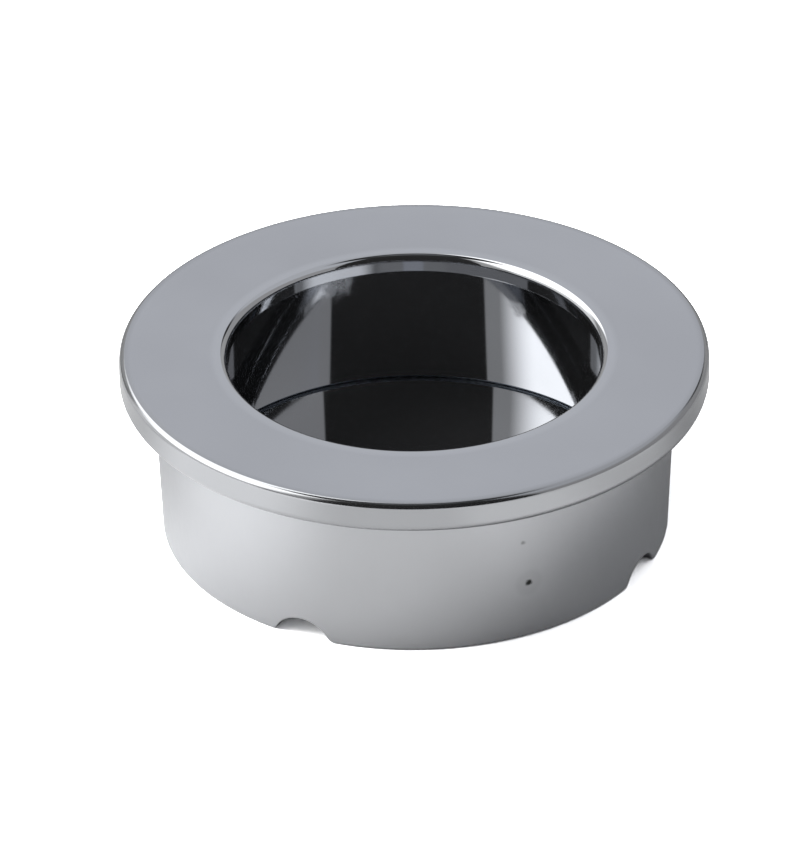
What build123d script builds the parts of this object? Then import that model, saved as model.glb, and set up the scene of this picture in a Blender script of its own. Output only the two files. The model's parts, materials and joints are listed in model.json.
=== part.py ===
"""Recessed pull handle: a round cup handle that is pressed into a drilling in a door or drawer front.

Two pieces make it up. The shell is one die casting, with a flat flange, a thin lip that reaches in
over the cup for the fingers to hook behind, and a tapered skirt that goes into the drilling. The
shell is open below, where the base disc closes the cup.

Millimetres and degrees. The Z axis is the axis of the cup, and Z = 0 is the foot of the skirt.
"""
import os
from math import radians, tan

from build123d import *

# Skirt: the outside that goes into the drilling. It narrows towards its foot.
skirt_diameter = 35.4
skirt_height = 10.9
skirt_draft = 2.8
skirt_foot_chamfer = 0.2

# Flange: the flat ring that covers the edge of the drilling.
flange_overhang = 2.3
flange_thickness = 2.3
rim_top_radius = 0.42
rim_under_chamfer = 0.35

# Lip: the thin inner edge of the flange, which reaches in over the cup.
lip_reach = 2.05
lip_thickness = 1.3
lip_top_radius = 0.65
lip_under_chamfer = 0.1

# Cup: the hollow, which widens towards its floor, so that its core draws out from below.
wall_thickness = 2.95
cup_draft = 3.9
cup_foot_chamfer = 0.15

# Base disc: closes the cup from below and seats against a ledge at the foot of the cup's wall.
base_recess = 0.85
disc_thickness = 1.0
disc_clearance = 0.03
ledge_width = 0.35

# Notches: round bites through the foot of the skirt, one on each axis.
notch_count = 4
notch_width = 4.1
notch_height = 1.25
notch_corner_radius = 0.45

# Levels above the foot of the skirt
floor_level = base_recess + disc_thickness
seat_level = skirt_height
face_level = seat_level + flange_thickness
lip_level = face_level - lip_thickness

# Radii from the axis of the cup
skirt_radius = skirt_diameter / 2
foot_radius = skirt_radius - skirt_height * tan(radians(skirt_draft))
flange_radius = skirt_radius + flange_overhang
cup_radius = skirt_radius - wall_thickness
opening_radius = cup_radius - lip_reach
cup_floor_radius = cup_radius + (lip_level - floor_level) * tan(radians(cup_draft))
pocket_radius = cup_floor_radius + ledge_width

# A notch is the arc that spans its width and rises to its height.
notch_radius = (notch_width**2 / 4 + notch_height**2) / (2 * notch_height)
notch_centre_level = notch_height - notch_radius

# Edges count as lying at a radius or a level when they are within this distance of it.
match_tolerance = 0.0001


def circles_at(part, radius, level):
    """The round edges of a part that have this radius and lie at this level."""
    circles = part.edges().filter_by(GeomType.CIRCLE)
    at_level = circles.filter_by(lambda edge: abs(edge.center().Z - level) < match_tolerance)
    return at_level.filter_by(lambda edge: abs(edge.radius - radius) < match_tolerance)


# Notch cutter: a round bar that lies across the foot of the skirt, along the X axis
with BuildPart() as notch_cutter:
    with BuildSketch(Plane.YZ):
        with Locations((0, notch_centre_level)):
            Circle(notch_radius)
    extrude(amount=flange_radius)

# Shell
with BuildPart() as shell:
    # Half section, from the foot of the skirt up its outside, over the lip and down the cup's wall
    with BuildSketch(Plane.XZ):
        with BuildLine():
            Polyline(
                (pocket_radius, 0),
                (foot_radius, 0),
                (skirt_radius, seat_level),
                (flange_radius, seat_level),
                (flange_radius, face_level),
                (opening_radius, face_level),
                (opening_radius, lip_level),
                (cup_radius, lip_level),
                (cup_floor_radius, floor_level),
                (pocket_radius, floor_level),
                close=True,
            )
        make_face()
    revolve(axis=Axis.Z)

    fillet(circles_at(shell.part, flange_radius, face_level), rim_top_radius)
    chamfer(circles_at(shell.part, flange_radius, seat_level), rim_under_chamfer)
    fillet(circles_at(shell.part, opening_radius, face_level), lip_top_radius)
    chamfer(circles_at(shell.part, opening_radius, lip_level), lip_under_chamfer)
    chamfer(circles_at(shell.part, cup_floor_radius, floor_level), cup_foot_chamfer)

    # Each notch bites through the skirt alone, and its corners are rounded off
    with PolarLocations(0, notch_count):
        add(notch_cutter.part, mode=Mode.SUBTRACT)
    notch_corners = shell.edges().filter_by(GeomType.LINE).group_by(Axis.Z)[0]
    fillet(notch_corners, notch_corner_radius)

    # The outer edge of the foot runs on round the notches, so one chamfer follows it all the way
    chamfer(circles_at(shell.part, foot_radius, 0), skirt_foot_chamfer)

# Base disc
with BuildPart() as base_disc:
    with BuildSketch(Plane.XY.offset(base_recess)):
        Circle(pocket_radius - disc_clearance)
    extrude(amount=disc_thickness)

os.makedirs("parts", exist_ok=True)
for name, piece in (("shell", shell), ("base_disc", base_disc)):
    piece.part.label = name
    export_step(piece.part, f"parts/{name}.step")
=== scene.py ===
"""Looks of the recessed pull handle: its plated shell and mirror base disc, in a light tent.

Metres and radians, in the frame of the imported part: Z is the axis of the cup and Z = 0 the foot.
"""
import json
from math import atan2, cos, pi, radians, sin, tan
from typing import NamedTuple

import bpy
import numpy as np
from mathutils import Matrix, Vector


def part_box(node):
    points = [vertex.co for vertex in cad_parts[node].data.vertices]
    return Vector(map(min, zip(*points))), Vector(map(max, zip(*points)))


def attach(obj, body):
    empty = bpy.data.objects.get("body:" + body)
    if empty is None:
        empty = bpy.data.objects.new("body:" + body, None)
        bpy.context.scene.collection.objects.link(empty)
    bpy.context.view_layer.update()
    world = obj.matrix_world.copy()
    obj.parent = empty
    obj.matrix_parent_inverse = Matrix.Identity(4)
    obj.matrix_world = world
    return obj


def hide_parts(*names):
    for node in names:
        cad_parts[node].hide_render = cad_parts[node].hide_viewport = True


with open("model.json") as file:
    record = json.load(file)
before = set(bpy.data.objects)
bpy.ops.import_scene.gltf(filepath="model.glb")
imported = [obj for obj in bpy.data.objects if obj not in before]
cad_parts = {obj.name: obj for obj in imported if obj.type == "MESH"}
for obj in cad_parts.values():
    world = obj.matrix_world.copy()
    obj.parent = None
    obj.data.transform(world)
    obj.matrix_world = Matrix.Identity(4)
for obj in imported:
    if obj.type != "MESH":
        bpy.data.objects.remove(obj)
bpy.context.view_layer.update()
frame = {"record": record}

MM = 0.001
MICRON = 0.000001

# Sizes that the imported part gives
shell_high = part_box("shell")[1]
disc_low, disc_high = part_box("base_disc")
seat = next(m for m in frame["record"]["mounts"] if m["name"] == "flange_seat")
seat_level = seat["pos_m"][2]
face_level = shell_high.z
flange_radius = shell_high.x
floor_level = disc_high.z
disc_level = disc_low.z

# Sizes of the section that a box does not give
skirt_radius = 17.7 * MM
skirt_draft = radians(2.8)
cup_radius = 14.75 * MM
cup_draft = radians(3.9)
lip_reach = 2.05 * MM
lip_thickness = 1.3 * MM
ledge_width = 0.35 * MM
disc_clearance = 0.03 * MM
foot_radius = skirt_radius - seat_level * tan(skirt_draft)
opening_radius = cup_radius - lip_reach
lip_level = face_level - lip_thickness
cup_floor_radius = cup_radius + (lip_level - floor_level) * tan(cup_draft)
pocket_radius = cup_floor_radius + ledge_width
disc_radius = pocket_radius - disc_clearance

# Rounds of the section
rim_top_round = 0.42 * MM
rim_fall = 0.08 * MM                # the face falls off a little towards the rim
rim_fall_width = 1.3 * MM
rim_fall_round = 16 * MM
rim_under_round = 0.62 * MM
lip_top_round = 0.5 * MM
lip_under_round = 0.1 * MM
skirt_root_round = 0.2 * MM
skirt_foot_round = 0.22 * MM
cup_root_round = 0.2 * MM
cup_foot_round = 0.23 * MM
pocket_round = 0.06 * MM
disc_round = 0.1 * MM

# Notches in the foot of the skirt
notch_count = 4
notch_half_width = 2.05 * MM
notch_height = 1.38 * MM
notch_corner_round = 0.45 * MM
notch_radius = (notch_half_width**2 + notch_height**2) / (2 * notch_height)
notch_centre = notch_height - notch_radius
notch_outside = 3.2 * MM            # below this level, a notch lifts the rows of the skirt
notch_inside = floor_level - 2 * pocket_round       # and below this one, those of the pocket

# Points round a ring: close together at the notches, wider between them
near_notch = radians(9.6)
points_near_notch = 84
points_between = 76
points_round_disc = 240

# Zones of the shell's finish, which are its material slots
POLISHED = 0
# The seam zone is painted dark: a painted shadow where the wall meets the disc
SATIN = 1
SEAM_SHADE = 2

# Camera. Bearings are from the X axis, anticlockwise seen from above.
camera_distance = 1.2
camera_elevation = radians(30.89)
camera_bearing = radians(-63.1)
camera_roll = radians(0.57)
camera_lens = 797.8                 # millimetres, as the sensor is
camera_sensor = 36.0
picture_left = 0.948 * MM           # the picture's middle is this far to the left of the face's
picture_down = 4.901 * MM           # and this far below it

# Colours of the plating
chrome = (0.62, 0.63, 0.65)
# The pits' hollows, painted near black as painted shade
pit_painted_shade = (0.05, 0.05, 0.048)
# A painted shadow in the seam where the wall meets the disc
seam_shade_dark = (0.20, 0.23, 0.27)
seam_shade_pale = (0.32, 0.36, 0.42)


# ---- Meshes -------------------------------------------------------------------------------------

def rounded_section(corners, closed=True):
    """Go round a section with its solid on the left, and round its corners off.

    A corner is (r, z, round, steps in the round, steps in the run after it, zone after it).
    Returns rows of (r, z, normal r, normal z), and the zone of the strip that follows each row.
    """
    count = len(corners)
    arcs = []
    for i, (r, z, radius, steps, _, _) in enumerate(corners):
        here = np.array((r, z))
        came = here - np.array(corners[i - 1][:2])
        goes = np.array(corners[(i + 1) % count][:2]) - here
        if not closed and i == 0:
            came = goes
        if not closed and i == count - 1:
            goes = came
        came, goes = came / np.linalg.norm(came), goes / np.linalg.norm(goes)
        turn = atan2(came[0] * goes[1] - came[1] * goes[0], came @ goes)
        side = 1 if turn > 0 else -1
        first = np.array((came[1], -came[0]))
        centre = here - came * radius * tan(abs(turn) / 2) - side * first * radius
        arc = []
        for k in range(steps + 1):
            angle = turn * k / max(steps, 1)
            normal = np.array((
                first[0] * cos(angle) - first[1] * sin(angle),
                first[0] * sin(angle) + first[1] * cos(angle),
            ))
            arc.append((*(centre + side * normal * radius), *normal))
        arcs.append(arc)

    rows, zones = [], []
    for i, arc in enumerate(arcs):
        run_steps, zone = corners[i][4:]
        rows += arc
        zones += [zone] * len(arc)
        if i == count - 1 and not closed:
            break
        start, end = np.array(arc[-1]), np.array(arcs[(i + 1) % count][0])
        for k in range(1, run_steps):
            rows.append(tuple(start + (end - start) * k / run_steps))
            zones.append(zone)
    return np.array(rows), zones


def ring_angles():
    """The angles of a ring's points."""
    pitch = 2 * pi / notch_count
    one = np.concatenate((
        np.linspace(-near_notch, near_notch, points_near_notch, endpoint=False),
        np.linspace(near_notch, pitch - near_notch, points_between, endpoint=False),
    ))
    return np.concatenate([one + pitch * k for k in range(notch_count)])


def notch_lift(across):
    """How far the foot is cut away at a distance across a notch, and the slope of the cut."""
    reach = notch_radius + notch_corner_round
    corner = (reach**2 - (notch_corner_round - notch_centre) ** 2) ** 0.5
    meet = corner * notch_radius / reach
    b = np.abs(across)
    inner = np.clip(b, 0, meet)
    outer = np.clip(b, meet, corner)
    arc_rise = np.sqrt(notch_radius**2 - inner**2)
    round_rise = np.sqrt(np.maximum(notch_corner_round**2 - (corner - outer) ** 2, 1e-16))
    in_arc = b < meet
    in_round = (b >= meet) & (b < corner)
    lift = np.where(in_arc, notch_centre + arc_rise, 0)
    lift = np.where(in_round, notch_corner_round - round_rise, lift)
    slope = np.where(in_arc, -inner / arc_rise, 0)
    slope = np.where(in_round, -(corner - outer) / round_rise, slope)
    return lift, slope * np.sign(across)


def cut_notches(rows, turn, place_r, place_z, normal):
    """Move the rows near the foot up round each notch. The lift fades out with the level."""
    r, z, normal_r, normal_z = (rows[:, i][:, None] for i in range(4))
    pitch = 2 * pi / notch_count
    nearest = np.round(turn / pitch) * pitch
    lift, slope = notch_lift(r * np.sin(turn - nearest))

    hold = np.clip((z - skirt_foot_round) / (notch_outside - skirt_foot_round), 0, 1)
    outside = 1 - hold**2 * (3 - 2 * hold)
    inside = 1 - np.clip((z - pocket_round) / (notch_inside - pocket_round), 0, 1)
    share = np.where(r > pocket_radius + pocket_round / 2, outside, inside)
    share = np.where(r < pocket_radius - pocket_round / 2, 0, share)

    # A lifted point stays on the slant of the skirt
    across_foot = (r - pocket_radius) / (foot_radius - pocket_radius)
    lean = tan(skirt_draft) * np.clip(across_foot, 0, 1)
    sideways = np.stack((-np.sin(nearest), np.cos(nearest), 0 * nearest), -1)
    tilt = share * slope * (normal_r * lean + normal_z)
    return (
        place_r + lift * share * lean,
        place_z + lift * share,
        normal - sideways * tilt[..., None],
    )


def revolve(name, rows, zones, angles, closed=True, notched=False):
    """A solid of revolution from rows of (r, z, normal r, normal z), with true normals."""
    r, z, normal_r, normal_z = (rows[:, i][:, None] for i in range(4))
    turn = angles[None, :]
    radial = np.stack((np.cos(turn), np.sin(turn)), -1)
    place_r, place_z = r + 0 * turn, z + 0 * turn
    upward = normal_z[..., None] + 0 * radial[..., :1]
    normal = np.concatenate((radial * normal_r[..., None], upward), -1)
    if notched:
        place_r, place_z, normal = cut_notches(rows, turn, place_r, place_z, normal)
    place = np.concatenate((radial * place_r[..., None], place_z[..., None]), -1)
    normal = normal / np.linalg.norm(normal, axis=-1, keepdims=True)

    on_axis = rows[:, 0] < 1e-9
    index = np.zeros(place.shape[:2], int)
    places, normals = [], []
    for k in range(len(rows)):
        ring = slice(0, 1) if on_axis[k] else slice(None)
        index[k] = len(places) + (0 if on_axis[k] else np.arange(len(angles)))
        places += place[k, ring].tolist()
        normals += normal[k, ring].tolist()
    faces, slots = [], []
    for k in range(len(rows) if closed else len(rows) - 1):
        low, high = index[k], index[(k + 1) % len(rows)]
        for j in range(len(angles)):
            n = (j + 1) % len(angles)
            corners = dict.fromkeys((low[j], low[n], high[n], high[j]))
            faces.append([int(c) for c in corners])
            slots.append(zones[k])

    mesh = bpy.data.meshes.new(name)
    mesh.from_pydata(places, [], faces)
    mesh.polygons.foreach_set("material_index", slots)
    mesh.polygons.foreach_set("use_smooth", [True] * len(faces))
    mesh.update()
    mesh.normals_split_custom_set_from_vertices(normals)
    piece = bpy.data.objects.new(name, mesh)
    bpy.context.scene.collection.objects.link(piece)
    return piece


def make_shell():
    corners = [
        (pocket_radius, 0, pocket_round, 3, 3, SATIN),
        (foot_radius, 0, skirt_foot_round, 7, 16, SATIN),
        (skirt_radius, seat_level, skirt_root_round, 6, 1, SATIN),
        (flange_radius, seat_level, rim_under_round, 12, 1, POLISHED),
        (flange_radius, face_level - rim_fall, rim_top_round, 18, 1, POLISHED),
        (flange_radius - rim_fall_width, face_level, rim_fall_round, 6, 1, POLISHED),
        (opening_radius, face_level, lip_top_round, 22, 1, POLISHED),
        (opening_radius, lip_level, lip_under_round, 8, 1, POLISHED),
        (cup_radius, lip_level, cup_root_round, 8, 1, POLISHED),
        (cup_floor_radius, floor_level, cup_foot_round, 12, 1, SEAM_SHADE),
        (pocket_radius, floor_level, pocket_round, 3, 4, SATIN),
    ]
    rows, zones = rounded_section(corners)
    return revolve("shell_plated", rows, zones, ring_angles(), notched=True)


def make_disc():
    corners = [
        (0, disc_level, 0, 0, 12, POLISHED),
        (disc_radius, disc_level, disc_round, 6, 1, POLISHED),
        (disc_radius, floor_level, disc_round, 6, 12, POLISHED),
        (0, floor_level, 0, 0, 1, POLISHED),
    ]
    rows, zones = rounded_section(corners, closed=False)
    angles = np.linspace(0, 2 * pi, points_round_disc, endpoint=False)
    return revolve("disc_mirror", rows, zones, angles, closed=False)


# ---- Node helpers -------------------------------------------------------------------------------

class Tree:
    """A short way to write node trees: links and values are given by socket name or number."""

    def __init__(self, owner):
        owner.use_nodes = True
        self.tree = owner.node_tree
        self.tree.nodes.clear()

    def add(self, kind, **inputs):
        node = self.tree.nodes.new(kind)
        for key, value in inputs.items():
            self.feed(node, key.replace("_", " "), value)
        return node

    def feed(self, node, key, value):
        socket = node.inputs[key]
        if isinstance(value, bpy.types.NodeSocket):
            self.tree.links.new(value, socket)
        else:
            socket.default_value = value

    def object_place(self):
        return self.add("ShaderNodeTexCoord").outputs["Object"]

    def math(self, operation, *values):
        node = self.tree.nodes.new("ShaderNodeMath")
        node.operation = operation
        for i, value in enumerate(values):
            self.feed(node, i, value)
        return node.outputs[0]

    def vector(self, operation, *values):
        """Vector maths. Gives a vector, or the number of a dot product, length or distance."""
        node = self.tree.nodes.new("ShaderNodeVectorMath")
        node.operation = operation
        for i, value in enumerate(values):
            self.feed(node, i, value)
        return node.outputs[1 if operation in ("DOT_PRODUCT", "LENGTH", "DISTANCE") else 0]

    def scale(self, vector, share):
        node = self.add("ShaderNodeVectorMath")
        node.operation = "SCALE"
        self.feed(node, 0, vector)
        self.feed(node, "Scale", share)
        return node.outputs[0]

    def remap(self, value, low, high, to_low=0.0, to_high=1.0, smooth=False):
        node = self.tree.nodes.new("ShaderNodeMapRange")
        node.interpolation_type = "SMOOTHSTEP" if smooth else "LINEAR"
        for i, item in enumerate((value, low, high, to_low, to_high)):
            self.feed(node, i, item)
        return node.outputs[0]

    def noise(self, place, scale, detail=2.0, roughness=0.5, distortion=0.0):
        node = self.add("ShaderNodeTexNoise", Vector=place, Scale=scale, Detail=detail)
        self.feed(node, "Roughness", roughness)
        self.feed(node, "Distortion", distortion)
        return node.outputs[0]

    def ragged(self, place, scale, detail, roughness, size):
        """A length that varies by half a size either way, to make an edge uneven."""
        about_zero = self.math("SUBTRACT", self.noise(place, scale, detail, roughness), 0.5)
        return self.math("MULTIPLY", about_zero, size)

    def mix_colour(self, share, low, high):
        node = self.tree.nodes.new("ShaderNodeMix")
        node.data_type = "RGBA"
        self.feed(node, 0, share)
        self.feed(node, 6, low)
        self.feed(node, 7, high)
        return node.outputs[2]


def paint(colour, share=1.0):
    """A colour for a socket, made darker or lighter by a share."""
    return (*(c * share for c in colour), 1.0)


# ---- Camera -------------------------------------------------------------------------------------

def from_camera_side(bearing, level=0.0):
    """The direction at a bearing from the camera's side to its right, and a height. Degrees."""
    angle, rise = camera_bearing + radians(bearing), radians(level)
    return Vector((cos(rise) * cos(angle), cos(rise) * sin(angle), sin(rise)))


def make_camera():
    subject = Vector((0, 0, face_level))
    away = Vector((
        cos(camera_elevation) * cos(camera_bearing),
        cos(camera_elevation) * sin(camera_bearing),
        sin(camera_elevation),
    ))
    place = subject + away * camera_distance

    def axes(back):
        right = Vector((0, 0, 1)).cross(back).normalized()
        up = back.cross(right)
        return (
            right * cos(camera_roll) - up * sin(camera_roll),
            right * sin(camera_roll) + up * cos(camera_roll),
        )

    right, up = axes(away)
    aim = subject - right * picture_left - up * picture_down
    back = (place - aim).normalized()
    right, up = axes(back)
    data = bpy.data.cameras.new("camera")
    data.sensor_fit = "HORIZONTAL"
    data.sensor_width = camera_sensor
    data.lens = camera_lens
    data.clip_start, data.clip_end = 0.01, 20.0
    camera = bpy.data.objects.new("camera", data)
    camera.matrix_world = Matrix((
        (right.x, up.x, back.x, place.x),
        (right.y, up.y, back.y, place.y),
        (right.z, up.z, back.z, place.z),
        (0, 0, 0, 1),
    ))
    bpy.context.scene.collection.objects.link(camera)
    bpy.context.scene.camera = camera


# ---- Light tent ---------------------------------------------------------------------------------

class Patch(NamedTuple):
    """A pale patch of the tent with soft edges, in degrees from the camera's side to its right."""
    bearing: float
    half_width: float
    level: float
    half_height: float
    soft_across: float
    soft_up: float
    strength: float
    colour: tuple


tent_dark = 0.02
tent_patches = [
    # The window on the left, and its end behind the part
    Patch(-93, 38, 44, 22, 30, 8, 2.5, (1.0, 1.0, 1.0)),
    Patch(-132, 41, 48, 17, 12, 8, 2.2, (0.98, 0.99, 1.0)),
    # The wall in front of the window, and the glow below it
    Patch(-55, 15.5, 20, 26, 1.5, 6, 0.42, (1.0, 1.0, 1.0)),
    Patch(-95, 38, 8, 18, 16, 8, 0.9, (1.0, 1.0, 1.0)),
    # The wall on the right, high up and lower down
    Patch(122, 73, 53, 16, 10, 8, 0.57, (0.95, 0.975, 1.03)),
    Patch(98, 52, 20, 26, 1.5, 8, 0.38, (0.99, 0.985, 1.0)),
    # The wall behind, which the flange's face mirrors, and its dimmer sides
    Patch(180, 12, 30, 17, 4, 4, 0.62, (0.945, 0.97, 1.035)),
    Patch(180, 45, 17, 12, 24, 6, 0.42, (1.0, 1.0, 1.0)),
    # A faint glow overhead
    Patch(0, 180, 90, 11, 8, 14, 0.14, (0.96, 0.98, 1.02)),
]

# Painted light and shade on the table: it is painted paler towards the key lamp and in a band on
# the right, and painted darker behind the part
table_size = 5.0
table_gap = 0.02 * MM               # below the foot, so that the two do not flicker
table_shade = 0.60
table_painted_key_light = 0.90
table_key_bearing = -110
table_key_start, table_key_full = 0.0, 19 * MM
table_painted_band_light = 0.10
table_band_middle = 20 * MM
table_band_full, table_band_end = 5 * MM, 15 * MM
table_painted_shade_behind = 0.62
table_behind_end, table_behind_start = -8 * MM, 9 * MM
table_burn = 5.9                    # the picture's background is burnt out, but for the shadow


def edge(t, angle, half_size, softness):
    """A mask that is 1 where an angle is within a half size, with a soft edge. Degrees."""
    low, high = radians(half_size - softness / 2), radians(half_size + softness / 2)
    return t.remap(angle, low, high, 1.0, 0.0, smooth=True)


def make_world():
    world = bpy.data.worlds.new("light_tent")
    bpy.context.scene.world = world
    t = Tree(world)
    place = t.add("ShaderNodeTexCoord").outputs["Generated"]
    elevation = t.math("ARCSINE", t.add("ShaderNodeSeparateXYZ", Vector=place).outputs["Z"])
    light = (tent_dark,) * 3
    for patch in tent_patches:
        ahead = t.vector("DOT_PRODUCT", place, from_camera_side(patch.bearing))
        aside = t.vector("DOT_PRODUCT", place, from_camera_side(patch.bearing + 90))
        swing = t.math("ABSOLUTE", t.math("ARCTAN2", aside, ahead))
        rise = t.math("ABSOLUTE", t.math("SUBTRACT", elevation, radians(patch.level)))
        across = edge(t, swing, patch.half_width, patch.soft_across)
        upward = edge(t, rise, patch.half_height, patch.soft_up)
        mask = t.math("MULTIPLY", t.math("MULTIPLY", across, upward), patch.strength)
        light = t.vector("MAXIMUM", light, t.scale(patch.colour, mask))
    seen = t.add("ShaderNodeLightPath").outputs["Is Camera Ray"]
    shown = t.add("ShaderNodeBackground", Color=(1.0, 1.0, 1.0, 1.0), Strength=1.0)
    tent = t.add("ShaderNodeBackground", Color=light, Strength=1.0)
    mix = t.tree.nodes.new("ShaderNodeMixShader")
    t.feed(mix, 0, seen)
    t.feed(mix, 1, tent.outputs[0])
    t.feed(mix, 2, shown.outputs[0])
    t.add("ShaderNodeOutputWorld", Surface=mix.outputs[0])


def make_lamp(name, bearing, level, distance, size, power):
    """An area lamp that lights the table, aimed at the part. It does not mirror in the plating."""
    data = bpy.data.lights.new(name, "AREA")
    data.shape = "DISK"
    data.size = size
    data.energy = power
    lamp = bpy.data.objects.new(name, data)
    away = from_camera_side(bearing, level)
    lamp.location = away * distance
    lamp.rotation_euler = away.to_track_quat("Z", "Y").to_euler()
    lamp.visible_glossy = False
    bpy.context.scene.collection.objects.link(lamp)


def table_paint(name):
    """A white table, with painted light and shade in its colour. Camera rays see it burnt out to
    white, apart from the shadow.
    """
    material = bpy.data.materials.new(name)
    t = Tree(material)
    place = t.object_place()

    def reach(bearing):
        return t.vector("DOT_PRODUCT", place, from_camera_side(bearing))

    # Painted light towards the key lamp and in a band on the right, painted shade behind the part
    shade = t.remap(
        reach(table_key_bearing), table_key_start, table_key_full,
        table_shade, table_painted_key_light, smooth=True,
    )
    off_band = t.math("ABSOLUTE", t.math("SUBTRACT", reach(90), table_band_middle))
    band = t.remap(off_band, table_band_full, table_band_end, table_painted_band_light, 0.0, smooth=True)
    behind = t.remap(
        reach(0), table_behind_end, table_behind_start, table_painted_shade_behind, 1.0, smooth=True
    )
    shade = t.math("MULTIPLY", t.math("ADD", shade, band), behind)
    seen = t.add("ShaderNodeLightPath").outputs["Is Camera Ray"]
    burnt = t.math("MULTIPLY", shade, t.remap(seen, 0.0, 1.0, 1.0, table_burn))
    diffuse = t.add("ShaderNodeBsdfDiffuse", Color=burnt)
    t.add("ShaderNodeOutputMaterial", Surface=diffuse.outputs[0])
    return material


def make_floor():
    half = table_size / 2
    mesh = bpy.data.meshes.new("table")
    corners = [(-half, -half, 0), (half, -half, 0), (half, half, 0), (-half, half, 0)]
    mesh.from_pydata(corners, [], [(0, 1, 2, 3)])
    mesh.materials.append(table_paint("white_table"))
    floor = bpy.data.objects.new("table", mesh)
    floor.location.z = -table_gap
    bpy.context.scene.collection.objects.link(floor)


# ---- Finishes -----------------------------------------------------------------------------------

def wall_point(side, level):
    """A point on the wall of the cup, at an angle from the back to the camera's left. Degrees."""
    radius = cup_radius + (lip_level - level) * tan(cup_draft)
    point = from_camera_side(180 + side) * radius
    return point.x, point.y, level


def skirt_point(side, level):
    """A point on the skirt, at an angle from the camera's side to its right. Degrees."""
    radius = foot_radius + level * tan(skirt_draft)
    point = from_camera_side(side) * radius
    return point.x, point.y, level


def polished_chrome(name, waviness, lip_highlight=0.0, smudges=()):
    """Mirror-bright chrome with faint polishing waves and haze, and smudges at (place, size).

    The face is painted brighter in a band beside the lip, a painted highlight. The rim is less
    finely polished, and is painted darker, a painted shade.
    """
    material = bpy.data.materials.new(name)
    t = Tree(material)
    place = t.object_place()
    shader = t.add("ShaderNodeBsdfPrincipled", Metallic=0.985)
    out = t.vector("LENGTH", t.vector("MULTIPLY", place, (1.0, 1.0, 0.0)))
    # A band beside the lip is painted brighter: a painted highlight
    lip_highlight_start, lip_highlight_end = opening_radius + 0.7 * MM, opening_radius + 1.3 * MM
    painted_lip_highlight = t.remap(out, lip_highlight_start, lip_highlight_end, 1.0, 0.0, smooth=True)
    rim_start, rim_full = flange_radius - 2 * rim_top_round, flange_radius - rim_top_round / 2
    at_rim = t.remap(out, rim_start, rim_full, smooth=True)

    haze = t.remap(t.noise(place, 75.0, detail=3.0), 0.3, 0.7)
    plating = t.mix_colour(haze, paint(chrome, 0.93), paint(chrome))
    plating = t.mix_colour(t.math("MULTIPLY", painted_lip_highlight, lip_highlight), plating, paint(chrome, 1.1))
    # The rim is painted darker, a painted shade; its added roughness is its coarser polish
    t.feed(shader, "Base Color", t.mix_colour(at_rim, plating, paint(chrome, 0.8)))

    scuffs = t.noise(place, 900.0, detail=5.0, roughness=0.65)
    rough = t.remap(scuffs, 0.3, 0.75, 0.03, 0.06)
    rough = t.math("ADD", rough, t.math("MULTIPLY", at_rim, 0.09))
    feather = t.ragged(place, 700.0, detail=3.0, roughness=0.6, size=2.4 * MM)
    wisps = t.noise(place, 1100.0, detail=4.0, roughness=0.6, distortion=0.6)
    wisps = t.remap(wisps, 0.2, 0.8)
    for centre, size in smudges:
        away = t.math("ADD", t.vector("DISTANCE", place, centre), feather)
        greasy = t.remap(away, -0.2 * size, size, 0.5, 0.0, smooth=True)
        rough = t.math("ADD", rough, t.math("MULTIPLY", greasy, wisps))
    t.feed(shader, "Roughness", rough)

    waves = t.noise(place, 210.0, detail=1.0, roughness=0.4)
    bump = t.add("ShaderNodeBump", Strength=1.0, Distance=waviness, Height=waves)
    t.feed(shader, "Normal", bump.outputs[0])
    t.add("ShaderNodeOutputMaterial", Surface=shader.outputs[0])
    return material


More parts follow.
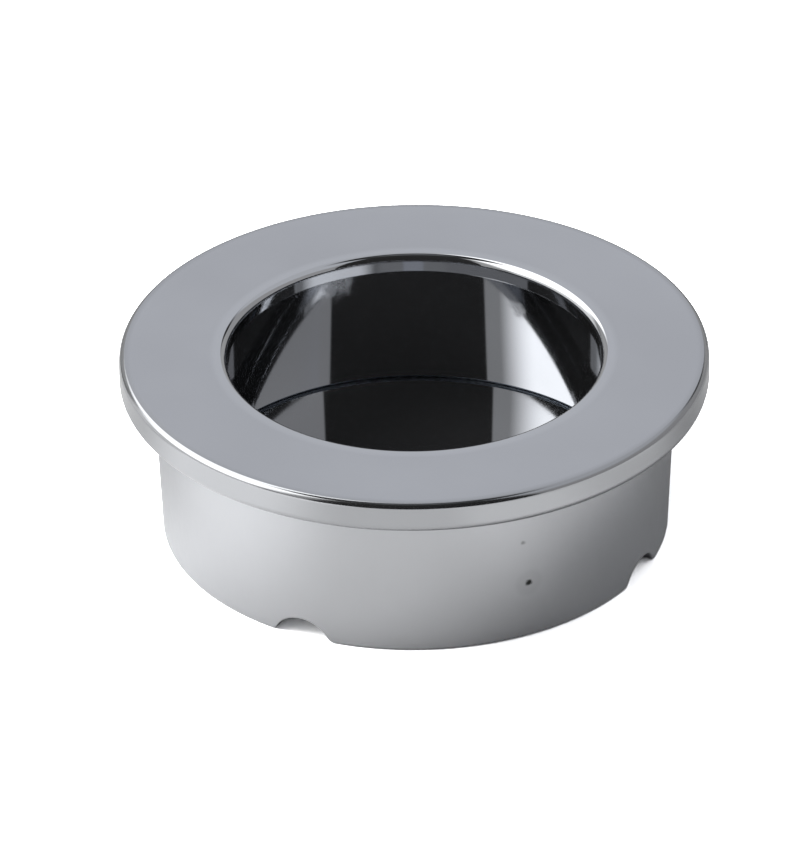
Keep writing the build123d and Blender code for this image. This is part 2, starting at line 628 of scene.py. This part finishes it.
def satin_chrome(name, pits):
    """Chrome over an unpolished casting: a fine upright grain, a soft shine and casting pits.

    A pit is (place, radius of its floor, radius of its edge, depth); its hollow is painted near
    black by its depth, a painted shade. The first has a faint stain.
    """
    material = bpy.data.materials.new(name)
    t = Tree(material)
    place = t.object_place()
    shader = t.add("ShaderNodeBsdfPrincipled", Metallic=0.985)
    stretched = t.vector("MULTIPLY", place, (1.0, 1.0, 0.3))
    grain = t.noise(stretched, 3800.0, detail=1.0, roughness=0.4)
    patches = t.noise(place, 240.0, detail=3.0, roughness=0.55)
    plating = t.mix_colour(patches, paint(chrome, 0.96), paint(chrome))

    uneven = t.ragged(place, 4500.0, detail=2.0, roughness=0.5, size=0.22 * MM)
    hole = 0.0
    for centre, floor_radius, edge_radius, depth in pits:
        away = t.math("ADD", t.vector("DISTANCE", place, centre), uneven)
        pit = t.remap(away, floor_radius, edge_radius, depth, 0.0, smooth=True)
        hole = t.math("MAXIMUM", hole, pit)
    from_first = t.vector("DISTANCE", place, pits[0][0])
    stain = t.remap(from_first, 0.75 * MM, 1.2 * MM, 0.06, 0.0, smooth=True)
    dark = t.math("MAXIMUM", hole, stain)
    # Pit hollows painted near black: painted shade
    t.feed(shader, "Base Color", t.mix_colour(dark, plating, paint(pit_painted_shade)))

    rough = t.remap(grain, 0.3, 0.7, 0.275, 0.325)
    t.feed(shader, "Roughness", t.math("ADD", rough, t.math("MULTIPLY", hole, 0.3)))
    height = t.math("ADD", grain, t.math("MULTIPLY", hole, -4.0))
    bump = t.add("ShaderNodeBump", Strength=0.4, Distance=1.8 * MICRON, Height=height)
    t.feed(shader, "Normal", bump.outputs[0])
    t.add("ShaderNodeOutputMaterial", Surface=shader.outputs[0])
    return material


def painted_seam_shade(name):
    """The line where the wall meets the disc, painted dark: a painted shadow in the groove, with a
    rough, mottled look.
    """
    material = bpy.data.materials.new(name)
    t = Tree(material)
    shader = t.add("ShaderNodeBsdfPrincipled", Metallic=0.8)
    seam_mottle = t.remap(t.noise(t.object_place(), 1400.0, detail=4.0, roughness=0.6), 0.3, 0.7)
    t.feed(shader, "Base Color", t.mix_colour(seam_mottle, paint(seam_shade_dark), paint(seam_shade_pale)))
    t.feed(shader, "Roughness", t.remap(seam_mottle, 0.0, 1.0, 0.35, 0.5))
    t.add("ShaderNodeOutputMaterial", Surface=shader.outputs[0])
    return material


# ---- Build --------------------------------------------------------------------------------------

bpy.context.scene.view_settings.view_transform = "Standard"

make_camera()
make_world()
make_floor()
make_lamp("key_lamp", bearing=-98, level=46, distance=0.9, size=0.65, power=6.6)
make_lamp("fill_lamp", bearing=60, level=65, distance=0.9, size=0.6, power=1.0)

cup_smudges = [
    (wall_point(21.5, 10.2 * MM), 1.9 * MM),
    (wall_point(-29.0, 8.6 * MM), 1.1 * MM),
]
casting_pits = [
    (skirt_point(25.8, 4.35 * MM), 0.1 * MM, 0.36 * MM, 1.0),
    (skirt_point(24.2, 7.7 * MM), 0.04 * MM, 0.24 * MM, 0.45),
]
shell = make_shell()
# In the order of the zones
shell.data.materials.append(
    polished_chrome("shell_polished", 0.5 * MICRON, lip_highlight=0.55, smudges=cup_smudges)
)
shell.data.materials.append(satin_chrome("shell_satin", casting_pits))
shell.data.materials.append(painted_seam_shade("cup_seam_painted_shade"))
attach(shell, "root")
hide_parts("shell")

disc = make_disc()
disc.data.materials.append(polished_chrome("disc_polished", 0.2 * MICRON))
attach(disc, "root")
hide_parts("base_disc")
